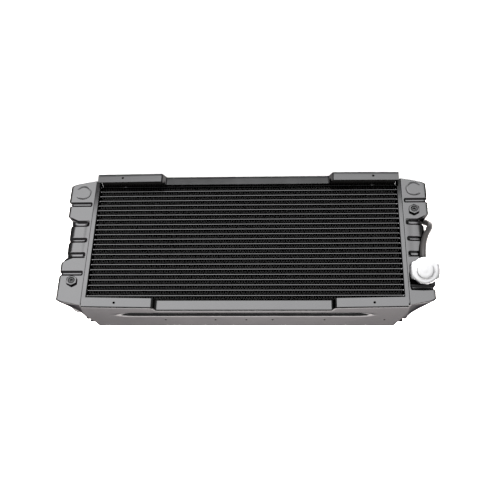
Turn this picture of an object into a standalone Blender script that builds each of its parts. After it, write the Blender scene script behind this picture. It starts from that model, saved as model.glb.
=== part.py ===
"""Cross-flow engine coolant radiator, lying on its back with its front face up.

Metres, +Z up. X runs along the coolant tubes, from the inlet tank (-X) to the
outlet tank (+X). -Y is the radiator's top when it is installed, where the
filler cap is, and +Y is its bottom. The origin is on the ground under the
middle of the whole object's bounding box.
"""
from math import atan2, cos, hypot, pi, radians, sin, tan

import bmesh
import bpy
from mathutils import Matrix, Vector

# ---------------------------------------------------------------- dimensions
GAP = 0.0003                    # clearance between touching pieces

TUBE_COUNT = 24
TUBE_PITCH = 0.0127
TUBE_THICK = 0.0020
TUBE_WALL = 0.0002
FIN_FRAME_WALL = 0.00025
CORE_BACK = 0.017
CORE_FRONT = 0.074
TUBE_HALF_LENGTH = 0.3405

HEADER_INNER_X = 0.3360         # face of the header plate that looks at the fins
HEADER_RIM_X = 0.3449
SHEET = 0.0015

TANK_MOUTH_X = 0.3453
TANK_CORNER_X = 0.4055          # where face and back would meet without their rounding
TANK_FACE_Z = 0.0810
TANK_BACK_Z = 0.0130
TANK_HALF_Y = 0.1590
TANK_WALL = 0.0016
TANK_EDGE_R = 0.0080
LIP_INSET = 0.0020
LIP_LENGTH = 0.0060

CHANNEL_HALF_X = 0.3410
CHANNEL_HALF_Y = 0.1700
FLANGE_WIDTH = 0.0230
PROUD_Z = 0.0930

NECK_X = 0.3790
NECK_Y = -0.0800
NECK_Z = 0.0730
NECK_TILT = radians(20)
CAP_EAR_R = 0.0325              # at the ears' corners
CAP_EAR_FLAT_R = 0.0305         # between them

BOSS_ACROSS_FLATS = 0.0220
BOSS_HEIGHT = 0.0050
PORT_R = 0.0070
DRAIN_AT = (0.3700, 0.0740)
VENT_AT = (-0.3710, -0.1020)

SPIGOT_R = 0.0175
SPIGOT_WALL = 0.0015
SPIGOT_X = 0.3665
SPIGOT_Y = 0.1220
SPIGOT_LOW = 0.0040
SPIGOT_TOP = 0.0690

HOSE_R = 0.0066

TUBE_Z = (CORE_BACK + CORE_FRONT) / 2
NECK_SLOPE = tan(NECK_TILT)

# ------------------------------------------------------------------- helpers


def clear_scene():
    for obj in list(bpy.data.objects):
        bpy.data.objects.remove(obj, do_unlink=True)


def new_collection(name):
    collection = bpy.data.collections.new(name)
    bpy.context.scene.collection.children.link(collection)
    return collection


def new_material(name, colour, roughness, metallic):
    material = bpy.data.materials.new(name)
    material.use_nodes = True
    shader = material.node_tree.nodes["Principled BSDF"]
    shader.inputs["Base Color"].default_value = (*colour, 1)
    shader.inputs["Roughness"].default_value = roughness
    shader.inputs["Metallic"].default_value = metallic
    return material


def new_empty(name, location, tilt=0.0, parent=None):
    empty = bpy.data.objects.new(name, None)
    PARTS.objects.link(empty)
    empty.location = location
    empty.rotation_euler = (tilt, 0, 0)
    empty.parent = parent
    return empty


def add_object(name, data, material, parent):
    obj = bpy.data.objects.new(name, data)
    PARTS.objects.link(obj)
    obj.parent = parent
    if material:
        data.materials.append(material)
    return obj


def mesh_object(name, points, faces, material, parent, smooth=False):
    """An object made of faces; smooth shades it between its sharp edges."""
    mesh = bpy.data.meshes.new(name)
    mesh.from_pydata(points, [], faces)
    mesh.update()
    if smooth:
        mesh.shade_smooth()
        mesh.set_sharp_from_angle(angle=radians(35))
    return add_object(name, mesh, material, parent)


def loft(name, rows, material, parent, smooth=False):
    """Quads between rows of points; every row has the same number of points."""
    width = len(rows[0])
    points = [point for row in rows for point in row]
    faces = []
    for r in range(len(rows) - 1):
        for c in range(width - 1):
            a = r * width + c
            faces.append((a, a + 1, a + width + 1, a + width))
    return mesh_object(name, points, faces, material, parent, smooth)


def thicken(obj, thickness):
    """Gives an open surface a wall on the side away from its normals."""
    solid = obj.modifiers.new("wall", "SOLIDIFY")
    solid.thickness = thickness
    solid.offset = -1
    solid.use_even_offset = False
    return solid


def block(name, low, high):
    """A box between two corners, used as a Boolean's tool."""
    mesh = bpy.data.meshes.new(name)
    bm = bmesh.new()
    bmesh.ops.create_cube(bm, size=1)
    size = [h - l for l, h in zip(low, high)]
    middle = [(l + h) / 2 for l, h in zip(low, high)]
    bmesh.ops.scale(bm, vec=size, verts=bm.verts)
    bmesh.ops.translate(bm, vec=middle, verts=bm.verts)
    bm.to_mesh(mesh)
    bm.free()
    return as_tool(bpy.data.objects.new(name, mesh), ROOT)


def as_tool(obj, parent):
    """Puts an object among the cutters, out of the model."""
    for collection in list(obj.users_collection):
        collection.objects.unlink(obj)
    CUTTERS.objects.link(obj)
    obj.parent = parent
    obj.hide_render = True
    obj.display_type = "WIRE"
    return obj


def sleeve(name, outer, inner, low, high, material, parent, along_x=False):
    """A straight hollow piece between two outlines with as many points each."""
    count = len(outer)
    rings = ((outer, low), (outer, high), (inner, low), (inner, high))
    points = [(h, u, v) if along_x else (u, v, h) for ring, h in rings for u, v in ring]
    low_out, high_out, low_in, high_in = (k * count for k in range(4))
    faces = []
    for i in range(count):
        j = (i + 1) % count
        faces.append((low_out + i, low_out + j, high_out + j, high_out + i))
        faces.append((low_in + j, low_in + i, high_in + i, high_in + j))
        faces.append((high_out + i, high_out + j, high_in + j, high_in + i))
        faces.append((low_out + j, low_out + i, low_in + i, low_in + j))
    return mesh_object(name, points, faces, material, parent)


def prism(name, outline, half_length, material, parent):
    """A closed outline in the YZ plane, carried along X both ways."""
    count = len(outline)
    points = [(x, y, z) for x in (-half_length, half_length) for y, z in outline]
    faces = [tuple(reversed(range(count))), tuple(range(count, 2 * count))]
    faces += [(i, (i + 1) % count, count + (i + 1) % count, count + i) for i in range(count)]
    return mesh_object(name, points, faces, material, parent)


def turned(name, profile, material, parent, steps=24, closed=True):
    """A profile of (radius, height) points turned about the parent's Z axis.

    The profile runs down its outer side. A closed one is a ring; an open one
    starts and ends on the axis.
    """
    mesh = bpy.data.meshes.new(name)
    count = len(profile)
    edges = [(i, i + 1) for i in range(count - 1)]
    if closed:
        edges.append((count - 1, 0))
    mesh.from_pydata([(r, 0, z) for r, z in profile], edges, [])
    obj = add_object(name, mesh, material, parent)
    screw = obj.modifiers.new("turn", "SCREW")
    screw.steps = steps
    screw.render_steps = steps
    screw.use_merge_vertices = True
    screw.merge_threshold = 0.00001
    screw.use_smooth_shade = False
    return obj


def wire(name, points, radius, material, parent, sides=2):
    """A round wire or hose along a list of points."""
    curve = bpy.data.curves.new(name, "CURVE")
    curve.dimensions = "3D"
    curve.bevel_depth = radius
    curve.bevel_resolution = sides
    curve.use_fill_caps = True
    curve.render_resolution_u = 0
    spline = curve.splines.new("POLY")
    spline.points.add(len(points) - 1)
    for spline_point, point in zip(spline.points, points):
        spline_point.co = (*point, 1)
    return add_object(name, curve, material, parent)


def coil_spring(name, radius, low, high, turns, wire_r, material, parent):
    """A compression spring about the parent's Z axis."""
    per_turn = 12
    count = turns * per_turn
    points = []
    for i in range(count + 1):
        angle = 2 * pi * i / per_turn
        height = low + wire_r + (high - low - 2 * wire_r) * i / count
        points.append((radius * cos(angle), radius * sin(angle), height))
    return wire(name, points, wire_r, material, parent, sides=1)


def cutter(name, radius, low, high, parent, sides=20):
    """A round cutter along the parent's Z axis."""
    mesh = bpy.data.meshes.new(name)
    bm = bmesh.new()
    bmesh.ops.create_cone(bm, cap_ends=True, segments=sides, radius1=radius,
                          radius2=radius, depth=high - low)
    bmesh.ops.translate(bm, vec=(0, 0, (low + high) / 2), verts=bm.verts)
    bm.to_mesh(mesh)
    bm.free()
    return as_tool(bpy.data.objects.new(name, mesh), parent)


def cut(obj, tool):
    boolean = obj.modifiers.new("cut_" + tool.name, "BOOLEAN")
    boolean.operation = "DIFFERENCE"
    boolean.object = tool


def drill(obj, name, centre, radius, reach, along_y=False, sides=10):
    """A small round hole through a sheet, along Z or along Y."""
    guide = new_empty(name + "_guide", centre, radians(90) if along_y else 0, ROOT)
    cut(obj, cutter(name, radius, -reach, reach, guide, sides))


def between(x, points):
    """Straight-line interpolation in a list of (x, value) pairs."""
    for (x0, v0), (x1, v1) in zip(points, points[1:]):
        if x <= x1:
            return v0 + (v1 - v0) * max(0.0, x - x0) / (x1 - x0)
    return points[-1][1]


# ---------------------------------------------------------------------- core


def tube_section(grow, thick):
    """The flat tube's outline, round-nosed, grown by a clearance."""
    half = thick / 2 + grow
    low = CORE_BACK + thick / 2
    high = CORE_FRONT - thick / 2
    nose = [radians(a) for a in (-90, -30, 30, 90)]
    front = [(half * sin(a), high + half * cos(a)) for a in nose]
    back = [(-half * sin(a), low - half * cos(a)) for a in nose]
    return [(y, z) for y, z in front + back][::-1]


def tube_centres():
    first = -(TUBE_COUNT - 1) / 2 * TUBE_PITCH
    return [first + i * TUBE_PITCH for i in range(TUBE_COUNT)]


def make_tubes():
    """Flat brass tubes, open at both ends, that carry coolant across the core."""
    outer = tube_section(0, TUBE_THICK)
    inner = tube_section(-TUBE_WALL, TUBE_THICK)
    for number, y in enumerate(tube_centres(), start=1):
        tube = sleeve(f"tube_{number:02d}", outer, inner, -TUBE_HALF_LENGTH, TUBE_HALF_LENGTH,
                      CORE_BLACK, ROOT, along_x=True)
        tube.location = (0, y, 0)


def rectangle(half_x, low_y, high_y):
    return [(-half_x, low_y), (half_x, low_y), (half_x, high_y), (-half_x, high_y)]


def make_fins():
    """A thin open frame for each row of fins, joined by a tie behind the tubes."""
    half_row = (TUBE_PITCH - TUBE_THICK) / 2 - GAP
    half_x = HEADER_INNER_X - 0.005
    low = CORE_BACK - 0.0012
    high = CORE_FRONT - 0.0010
    wall = FIN_FRAME_WALL
    fins = None
    for i in range(TUBE_COUNT + 1):
        y = (i - TUBE_COUNT / 2) * TUBE_PITCH
        row = sleeve(f"fin_row_{i:02d}", rectangle(half_x, y - half_row, y + half_row),
                     rectangle(half_x - wall, y - half_row + wall, y + half_row - wall),
                     low, high, CORE_BLACK, ROOT)
        fins = join_mesh(fins, row)
    fins.name = "fin_pack"
    last_row = TUBE_COUNT / 2 * TUBE_PITCH
    tie = block("fin_tie", (-0.004, -last_row, low - 0.0004),
                (0.004, last_row, CORE_BACK - 0.0004))
    union = fins.modifiers.new(tie.name, "BOOLEAN")
    union.operation = "UNION"
    union.object = tie


def join_mesh(base, extra):
    """Adds one object's mesh to another's; both share the same parent."""
    if base is None:
        return extra
    bm = bmesh.new()
    bm.from_mesh(base.data)
    bm.from_mesh(extra.data)
    bm.to_mesh(base.data)
    bm.free()
    bpy.data.objects.remove(extra, do_unlink=True)
    return base


def make_header(name, side):
    """A pressed tray with a slot for each tube; its rim holds the tank."""
    rings = ((HEADER_RIM_X, 0), (HEADER_INNER_X, 0))
    points = []
    for x, inset in rings:
        for y, z in ((-1, 0), (1, 0), (1, 1), (-1, 1)):
            height = TANK_FACE_Z - inset if z else TANK_BACK_Z + inset
            points.append((side * x, y * (TANK_HALF_Y - inset), height))
    faces = [(i, (i + 1) % 4, 4 + (i + 1) % 4, 4 + i) for i in range(4)] + [(4, 5, 6, 7)]
    if side > 0:
        faces = [face[::-1] for face in faces]
    header = mesh_object(name, points, faces, PAINT, ROOT)
    thicken(header, SHEET).use_even_offset = True
    outline = tube_section(GAP, TUBE_THICK)
    slots = None
    for y in tube_centres():
        shifted = [(y + dy, z) for dy, z in outline]
        slots = join_mesh(slots, prism(f"{name}_slot", shifted, 0.003, None, ROOT))
    slots.name = name + "_slots"
    slots.location.x = side * (HEADER_INNER_X + SHEET / 2)
    cut(header, as_tool(slots, ROOT))


def make_core_support(name, side):
    """A shallow channel that backs the outermost fins and stiffens the core."""
    web = TUBE_COUNT / 2 * TUBE_PITCH + TUBE_PITCH / 2 - TUBE_THICK / 2 + GAP
    outer = CHANNEL_HALF_Y - SHEET - GAP
    section = [(outer, CORE_FRONT - 0.002), (web, CORE_FRONT - 0.002),
               (web, CORE_BACK + 0.002), (outer, CORE_BACK + 0.002)]
    end = HEADER_INNER_X - 0.0005
    rows = [[(x, side * y, z) for y, z in section] for x in (-side * end, side * end)]
    support = loft(name, rows, CORE_BLACK, ROOT)
    thicken(support, 0.0012).use_even_offset = True


# ------------------------------------------------------------- side channels


def make_channel(name, side, heights, rib):
    """A U-section with a joggled front flange and bevelled web ends.

    heights lists (|x|, front flange height). rib adds a long groove to the web.
    """
    back_end = 0.3170
    chamfer_top = 0.0630
    rib_x = 0.2720 if rib else 0
    stations = sorted({x for x, _ in heights} | ({rib_x, rib_x - 0.006} if rib else set()))
    stations = [-x for x in reversed(stations)] + stations
    rows = []
    for x in stations:
        front = between(abs(x), heights)
        low = chamfer_top / 2
        at_end = abs(x) == CHANNEL_HALF_X
        sink = 0.002 if rib and abs(x) < rib_x else 0
        web = [(0, front), (0, 0.0680), (sink, 0.0655), (sink, 0.0525), (0, 0.0500), (0, low), (0, 0)]
        row = [(x, side * (CHANNEL_HALF_Y - FLANGE_WIDTH), front)]
        for inward, z in web:
            reach = abs(x)
            if at_end and z < chamfer_top:
                reach = back_end + (CHANNEL_HALF_X - back_end) * z / chamfer_top
            row.append((reach if x > 0 else -reach, side * (CHANNEL_HALF_Y - inward), z))
        reach = back_end if at_end else abs(x)
        row.append((reach if x > 0 else -reach, side * (CHANNEL_HALF_Y - FLANGE_WIDTH), 0))
        rows.append(row if side > 0 else row[::-1])
    channel = loft(name, rows[::-1], PAINT, ROOT)
    thicken(channel, SHEET).use_even_offset = True
    return channel


def make_channels():
    near = make_channel("upper_channel", -1,
                        ((0.180, 0.0760), (0.198, 0.0880), (CHANNEL_HALF_X, PROUD_Z)), True)
    far = make_channel("lower_channel", 1,
                       ((0.181, 0.0800), (0.198, 0.0950), (CHANNEL_HALF_X, PROUD_Z)), False)
    for label, channel, y, x in (("upper", near, -0.1585, 0.272), ("lower", far, 0.1585, 0.284)):
        for sign in (-1, 1):
            drill(channel, f"{label}_flange_hole_{sign}", (sign * x, y, PROUD_Z), 0.0028, 0.012)
    for i, x in enumerate((-0.169, -0.062, 0.004, 0.060, 0.170, 0.296)):
        drill(near, f"upper_web_hole_{i}", (x, -CHANNEL_HALF_Y, 0.0320), 0.0022, 0.005, True, 8)


# --------------------------------------------------------------------- tanks

# (|y|, |x| of the sharp corner) where the tank narrows towards its ends
FAR_OUTLINE = ((0.1430, 0.4005), (0.1500, 0.3885), (0.1555, 0.3700), (TANK_HALF_Y, TANK_MOUTH_X))
NEAR_OUTLINE = ((0.1420, 0.4000), (0.1500, 0.3915), (0.1550, 0.3700), (TANK_HALF_Y, TANK_MOUTH_X))
BLOCK = 0.0                     # depths of the pressed relief below the tank's face
BEAD = 0.0025
PANEL = 0.0100
PANEL_BEAD = 0.0125


def bead(centre, level=BLOCK):
    """A narrow sunk bead across the tank: (y, depth) from +Y to -Y."""
    deep = level + BEAD
    return [(centre + 0.0052, level), (centre + 0.0036, deep),
            (centre - 0.0036, deep), (centre - 0.0052, level)]


def tank_stations(side):
    """(y, depth, skew) along the tank; skew slants a block's outer corner."""
    far_bead = 0.100 if side > 0 else 0.095
    stations = [(y, d, 0) for y, d in [(0.132, BLOCK)] + bead(far_bead)]
    stations += [(0.066, BLOCK, 0), (0.0495, BLOCK, 0.55), (0.0465, PANEL_BEAD, 0.45),
                 (0.0395, PANEL_BEAD, 0.15), (0.0375, PANEL, 0)]
    stations += [(y, d, 0) for y, d in bead(0.0015, PANEL)]
    stations += [(-0.0305, PANEL, 0), (-0.0325, PANEL_BEAD, 0), (-0.0400, PANEL_BEAD, -0.1),
                 (-0.0430, BLOCK, -0.55)]
    if side < 0:
        stations += [(y, d, 0) for y, d in [(-0.0600, BLOCK)] + bead(-0.082)]
    else:
        drop = [(y, TANK_FACE_Z - NECK_Z - (y - NECK_Y) * NECK_SLOPE) for y in (-0.0600, -0.1080)]
        stations += [(y, d, 0) for y, d in [(-0.0570, BLOCK)] + drop + [(-0.1110, BLOCK)]]
        stations += [(y, d, 0) for y, d in bead(-0.119)]
    stations.append((-0.132, BLOCK, 0))
    return stations


def tank_row(side, y, depth, skew, outer, saddle):
    """One section of the tank: rim, face, rounded edge and sloping back."""
    face = TANK_FACE_Z - depth
    lean = (outer - TANK_MOUTH_X) / (TANK_FACE_Z - 0.002 - TANK_BACK_Z)
    edge = outer if saddle else TANK_MOUTH_X + lean * (face - 0.002 - TANK_BACK_Z)
    span = edge - TANK_MOUTH_X
    radius = min(0.003 if saddle else TANK_EDGE_R, span / 3)
    shape = [(TANK_MOUTH_X, TANK_FACE_Z), (TANK_MOUTH_X + min(0.004, span * 0.1), TANK_FACE_Z),
             (TANK_MOUTH_X + min(0.008, span * 0.2), face)]
    shape.append((TANK_MOUTH_X + span * 0.55, face))
    down = hypot(span, face - TANK_BACK_Z)
    end = (edge - span * radius / down, face - (face - TANK_BACK_Z) * radius / down)
    for i in range(4):
        t = i / 3
        x = (1 - t) ** 2 * (edge - radius) + 2 * t * (1 - t) * edge + t * t * end[0]
        z = (1 - t) ** 2 * face + 2 * t * (1 - t) * face + t * t * end[1]
        shape.append((x, z))
    shape += [((end[0] + TANK_MOUTH_X) / 2, (end[1] + TANK_BACK_Z) / 2), (TANK_MOUTH_X, TANK_BACK_Z)]
    corner = 0.3760
    return [(side * x, y + skew * max(0.0, x - corner), z) for x, z in shape]


def make_tank(name, side):
    """A pressed pan, wedge-shaped in section, that nests in the header tray."""
    rows = []
    for y, outer in reversed(FAR_OUTLINE):
        rows.append(tank_row(side, y, BLOCK, 0, outer, False))
    for y, depth, skew in tank_stations(side):
        saddle = side > 0 and -0.1085 < y < -0.0595
        rows.append(tank_row(side, y, depth, skew, TANK_CORNER_X, saddle))
    for y, outer in NEAR_OUTLINE:
        rows.append(tank_row(side, -y, BLOCK, 0, outer, False))
    tank = loft(name, rows if side < 0 else [row[::-1] for row in rows], PAINT, ROOT)
    add_lip(tank.data, side)
    thicken(tank, TANK_WALL)
    tank.data.shade_smooth()
    tank.data.set_sharp_from_angle(angle=radians(35))
    return tank


def add_lip(mesh, side):
    """Steps the pan's open edge inwards and carries it into the header tray."""
    bm = bmesh.new()
    bm.from_mesh(mesh)
    bmesh.ops.remove_doubles(bm, verts=bm.verts, dist=0.00005)
    steps = ((LIP_INSET, 0), (0, -LIP_LENGTH))
    for inset, run in steps:
        rim = [edge for edge in bm.edges if edge.is_boundary]
        grown = bmesh.ops.extrude_edge_only(bm, edges=rim)["geom"]
        for vert in (item for item in grown if isinstance(item, bmesh.types.BMVert)):
            limit_y = TANK_HALF_Y - inset
            if inset:
                vert.co.y = max(-limit_y, min(limit_y, vert.co.y))
                vert.co.z = max(TANK_BACK_Z + inset, min(TANK_FACE_Z - inset, vert.co.z))
            vert.co.x += side * run
    bm.to_mesh(mesh)
    bm.free()


def make_tanks():
    inlet = make_tank("left_tank", -1)
    outlet = make_tank("right_tank", 1)
    cut(outlet, cutter("neck_hole", 0.0170, -0.0045, 0.0080, NECK))
    for tank, guide in ((inlet, VENT), (outlet, DRAIN)):
        cut(tank, cutter(tank.name + "_port_hole", PORT_R + 0.0008, -0.006, 0.006, guide))
    for tank, guide in ((inlet, INLET), (outlet, OUTLET)):
        cut(tank, cutter(tank.name + "_spigot_hole", SPIGOT_R + GAP, -0.010,
                         SPIGOT_TOP + 0.002, guide, 24))


# ------------------------------------------------------- bosses and spigots


def make_port(name, guide):
    """A hexagonal boss with a recessed socket plug on a sealing washer."""
    corner = BOSS_ACROSS_FLATS / 2 / cos(pi / 6)
    angles = [2 * pi * i / 24 for i in range(24)]
    hexagon = [(hex_radius(a, corner) * cos(a), hex_radius(a, corner) * sin(a)) for a in angles]
    bore = [(PORT_R * cos(a), PORT_R * sin(a)) for a in angles]
    sleeve(name + "_boss", hexagon, bore, GAP, BOSS_HEIGHT, PAINT, guide)
    rising = new_empty(name + "_seal_axis", (0, 0, 0), 0, guide)
    turning = new_empty(name + "_plug_axis", (0, 0, 0), 0, rising)
    turned(name + "_seal", [(0.0054, 0.0012), (0.0062, 0.0014), (0.0066, 0.0006), (0.0062, -0.0002),
                            (0.0054, 0.0)], RUBBER, rising, 16)
    turned(name + "_plug", [(0, 0.0012), (0.0032, 0.0012), (0.0036, 0.0038), (0.0060, 0.0038),
                            (0.0064, 0.0034), (0.0064, 0.0018), (0.0050, 0.0018),
                            (0.0050, -0.0006), (0.0064, -0.0006), (0.0064, -0.0060),
                            (0.0050, -0.0072), (0, -0.0072)], PLUG_STEEL, turning, 16, False)


def hex_radius(angle, corner):
    """Distance from a hexagon's middle to its edge at an angle."""
    step = pi / 3
    local = (angle % step) - step / 2
    return corner * cos(step / 2) / cos(local)


def make_spigot(name, guide):
    """A beaded hose spigot that stands on the tank's sloping back."""
    r, w = SPIGOT_R, SPIGOT_WALL
    turned(name, [(r - w, SPIGOT_TOP), (r, SPIGOT_TOP), (r, SPIGOT_LOW + 0.008),
                  (r + 0.0012, SPIGOT_LOW + 0.006), (r + 0.0012, SPIGOT_LOW + 0.004),
                  (r, SPIGOT_LOW), (r - w, SPIGOT_LOW)], PAINT, guide, 24)


# ------------------------------------------------------ filler neck and cap


def make_neck():
    """A stepped filler neck with a seat, a flanged rim and an overflow pipe."""
    neck = turned("filler_neck", [
        (0.0222, 0.0298), (0.0235, 0.0304), (0.0255, 0.0298), (0.0255, 0.0286), (0.0236, 0.0286),
        (0.0236, 0.0106), (0.0200, 0.0096), (0.0165, 0.0090), (0.0165, 0.0016), (0.0205, 0.0012),
        (0.0205, GAP), (0.0165, GAP), (0.0165, -0.0040), (0.0150, -0.0040), (0.0150, 0.0108),
        (0.0222, 0.0118)], PAINT, NECK, 32)
    neck.data.shade_smooth()
    pipe_at = new_empty("overflow_axis", (0.0004, 0.0, 0.0165), radians(-110), NECK)
    cut(neck, cutter("overflow_hole", 0.0040 + GAP, 0.0190, 0.0270, pipe_at, 14))
    turned("overflow_nipple", [(0.0028, 0.0261), (0.0040, 0.0261), (0.0040, 0.0228),
                               (0.0028, 0.0228)], PAINT, pipe_at, 14)


def ear_radius(angle):
    """The cap's outline: a round body with two thumb ears, each with two corners."""
    body = 0.0286
    folded = abs(atan2(sin(angle), abs(cos(angle))))
    corner = radians(31)
    blend = radians(16)
    if folded <= corner:
        return CAP_EAR_FLAT_R + (CAP_EAR_R - CAP_EAR_FLAT_R) * (folded / corner) ** 2
    if folded <= corner + blend:
        return CAP_EAR_R + (body - CAP_EAR_R) * (folded - corner) / blend
    return body


def make_cap_shell():
    columns = 48
    crown, rim, skirt = 0.0360, 0.0348, 0.0240
    rows = []
    profile = [(0.0042, crown), (0.0165, crown), (0.0180, rim), (0.0255, rim)]
    for radius, height in profile:
        rows.append([(radius * cos(2 * pi * i / columns), radius * sin(2 * pi * i / columns), height)
                     for i in range(columns)])
    for share, height in ((0.985, rim - 0.0006), (1.0, rim - 0.0022), (1.0, skirt + 0.001),
                          (0.995, skirt)):
        row = []
        for i in range(columns):
            angle = 2 * pi * i / columns
            radius = share * ear_radius(angle)
            row.append((radius * cos(angle), radius * sin(angle), height))
        rows.append(row)
    points = [point for row in rows for point in row]
    faces = []
    for r in range(len(rows) - 1):
        for c in range(columns):
            a, b = r * columns + c, r * columns + (c + 1) % columns
            faces.append((a, a + columns, b + columns, b))
    shell = mesh_object("cap_shell", points, faces, ZINC, CAP, True)
    thicken(shell, 0.0010)


def make_cap_inside():
    """What hangs under the cap's shell: seals, springs and the two valves."""
    turned("cap_rivet", [(0, 0.0376), (0.0030, 0.0374), (0.0052, 0.0364), (0.0052, 0.0363),
                         (0.0032, 0.0363), (0.0032, 0.0302), (0, 0.0302)], ZINC, CAP_VALVE, 16, False)
    turned("diaphragm_spring", [(0.0037, 0.0333), (0.0240, 0.0325), (0.0240, 0.0321),
                                (0.0037, 0.0328)], SPRING, CAP_VALVE, 24)
    turned("neck_seal", [(0.0195, 0.0318), (0.0245, 0.0318), (0.0245, 0.0307), (0.0195, 0.0307)],
           RUBBER, CAP_VALVE, 24)
    turned("spring_cup", [(0.0037, 0.0314), (0.0178, 0.0314), (0.0188, 0.0304), (0.0188, 0.0150),
                          (0.0170, 0.0150), (0.0170, 0.0158), (0.0180, 0.0158), (0.0180, 0.0300),
                          (0.0174, 0.0306), (0.0037, 0.0306)], ZINC, CAP_VALVE, 24)
    coil_spring("pressure_spring", 0.0130, 0.0142, 0.0298, 4, 0.0010, SPRING, CAP_VALVE)
    turned("pressure_plate", [(0.0022, 0.0138), (0.0155, 0.0138), (0.0155, 0.0172), (0.0176, 0.0172),
                              (0.0176, 0.0164), (0.0164, 0.0164), (0.0164, 0.0130), (0.0022, 0.0130)],
           ZINC, VALVE, 24)
    turned("pressure_seal", [(0.0046, 0.0127), (0.0166, 0.0127), (0.0166, 0.0121), (0.0046, 0.0121)],
           RUBBER, VALVE, 24)
    turned("vacuum_valve", [(0, 0.0204), (0.0032, 0.0204), (0.0032, 0.0197), (0.0012, 0.0197),
                            (0.0012, 0.0124), (0.0036, 0.0124), (0.0036, 0.0118), (0.0070, 0.0118),
                            (0.0070, 0.0108), (0, 0.0108)], BRASS, VACUUM, 16, False)
    coil_spring("vacuum_spring", 0.0026, 0.0141, 0.0194, 3, 0.0004, SPRING, VALVE)


# ------------------------------------------------------------- overflow hose

HOSE_ROUTE = (
    (0.3794, -0.0592, 0.0885), (0.3795, -0.0515, 0.0885), (0.3798, -0.0430, 0.0884),
    (0.3805, -0.0340, 0.0880), (0.3817, -0.0240, 0.0867), (0.3836, -0.0140, 0.0849),
    (0.3862, -0.0040, 0.0834), (0.3896, 0.0060, 0.0819), (0.3932, 0.0145, 0.0799),
    (0.3970, 0.0225, 0.0774), (0.4008, 0.0305, 0.0740), (0.4035, 0.0390, 0.0687),
    (0.4042, 0.0475, 0.0610), (0.4028, 0.0565, 0.0510), (0.4003, 0.0655, 0.0405),
    (0.3978, 0.0745, 0.0305), (0.3959, 0.0840, 0.0215), (0.3949, 0.0945, 0.0142),
    (0.3945, 0.1060, 0.0094), (0.3944, 0.1190, 0.0073), (0.3943, 0.1330, 0.0069),
    (0.3942, 0.1490, 0.0069), (0.3940, 0.1660, 0.0069))


def smooth_route(points, per_span):
    """Catmull-Rom points through a route."""
    nodes = [Vector(p) for p in points]
    nodes = [2 * nodes[0] - nodes[1]] + nodes + [2 * nodes[-1] - nodes[-2]]
    result = []
    for i in range(1, len(nodes) - 2):
        a, b, c, d = nodes[i - 1:i + 3]
        for k in range(per_span):
            t = k / per_span
            result.append(0.5 * (2 * b + (c - a) * t + (2 * a - 5 * b + 4 * c - d) * t ** 2
                                 + (3 * b - a - 3 * c + d) * t ** 3))
    result.append(nodes[-2])
    return result


def make_hose():
    """The overflow hose, pushed over the neck's pipe and led behind the tank."""
    wire("overflow_hose", smooth_route(HOSE_ROUTE, 1), HOSE_R, RUBBER, ROOT, sides=2)


# ------------------------------------------------------------------ assembly
clear_scene()
PARTS = new_collection("coolant_radiator")
CUTTERS = new_collection("cutters")

PAINT = new_material("black_paint", (0.035, 0.035, 0.037), 0.28, 0.0)
CORE_BLACK = new_material("core_black", (0.020, 0.020, 0.021), 0.5, 0.0)
ZINC = new_material("bright_zinc", (0.80, 0.80, 0.82), 0.2, 1.0)
SPRING = new_material("spring_steel", (0.55, 0.55, 0.56), 0.35, 1.0)
BRASS = new_material("valve_brass", (0.72, 0.55, 0.25), 0.35, 1.0)
RUBBER = new_material("black_rubber", (0.025, 0.025, 0.025), 0.75, 0.0)
PLUG_STEEL = new_material("plug_steel", (0.12, 0.12, 0.125), 0.4, 1.0)

# The filler cap reaches past the outlet tank, so the core's middle is not the
# middle of the bounding box.
TANK_REACH = max(point[0] for point in tank_row(1, 0, BLOCK, 0, TANK_CORNER_X, False))
FRAME_SHIFT_X = (TANK_REACH - NECK_X - CAP_EAR_FLAT_R) / 2

ROOT = new_empty("radiator_middle", (FRAME_SHIFT_X, 0, 0))
NECK = new_empty("neck_axis", (NECK_X, NECK_Y, NECK_Z), NECK_TILT, ROOT)
CAP_VALVE = new_empty("cap_valve_axis", (0, 0, 0), 0, NECK)
CAP = new_empty("cap_axis", (0, 0, 0), 0, CAP_VALVE)
VALVE = new_empty("pressure_valve_axis", (0, 0, 0), 0, CAP_VALVE)
VACUUM = new_empty("vacuum_valve_axis", (0, 0, 0), 0, VALVE)
DRAIN = new_empty("drain_axis", (*DRAIN_AT, TANK_FACE_Z), 0, ROOT)
VENT = new_empty("vent_axis", (*VENT_AT, TANK_FACE_Z), 0, ROOT)
INLET = new_empty("inlet_axis", (-SPIGOT_X, -SPIGOT_Y, 0), 0, ROOT)
OUTLET = new_empty("outlet_axis", (SPIGOT_X, SPIGOT_Y, 0), 0, ROOT)

make_tubes()
make_fins()
for header_name, header_side in (("left_header_plate", -1), ("right_header_plate", 1)):
    make_header(header_name, header_side)
for support_name, support_side in (("upper_core_support", -1), ("lower_core_support", 1)):
    make_core_support(support_name, support_side)
make_channels()
make_tanks()
make_port("drain", DRAIN)
make_port("vent", VENT)
make_spigot("inlet_spigot", INLET)
make_spigot("outlet_spigot", OUTLET)
make_neck()
make_cap_shell()
make_cap_inside()
make_hose()
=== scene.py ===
# %% [markdown]
# # A crossflow radiator in black paint
# This lesson dresses the plain CAD model of a car radiator: a core of flat tubes and folded
# fins, a pressed tank at each end, a filler neck with its cap, and two side channels.
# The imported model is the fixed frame: each piece is built where the CAD piece that it stands
# for already is, and it rides on the same body.

# %% Load the frame
from math import atan2, cos, hypot, pi, radians, sin, tan

import bmesh
import bpy
import numpy as np
from mathutils import Matrix, Vector


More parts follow.
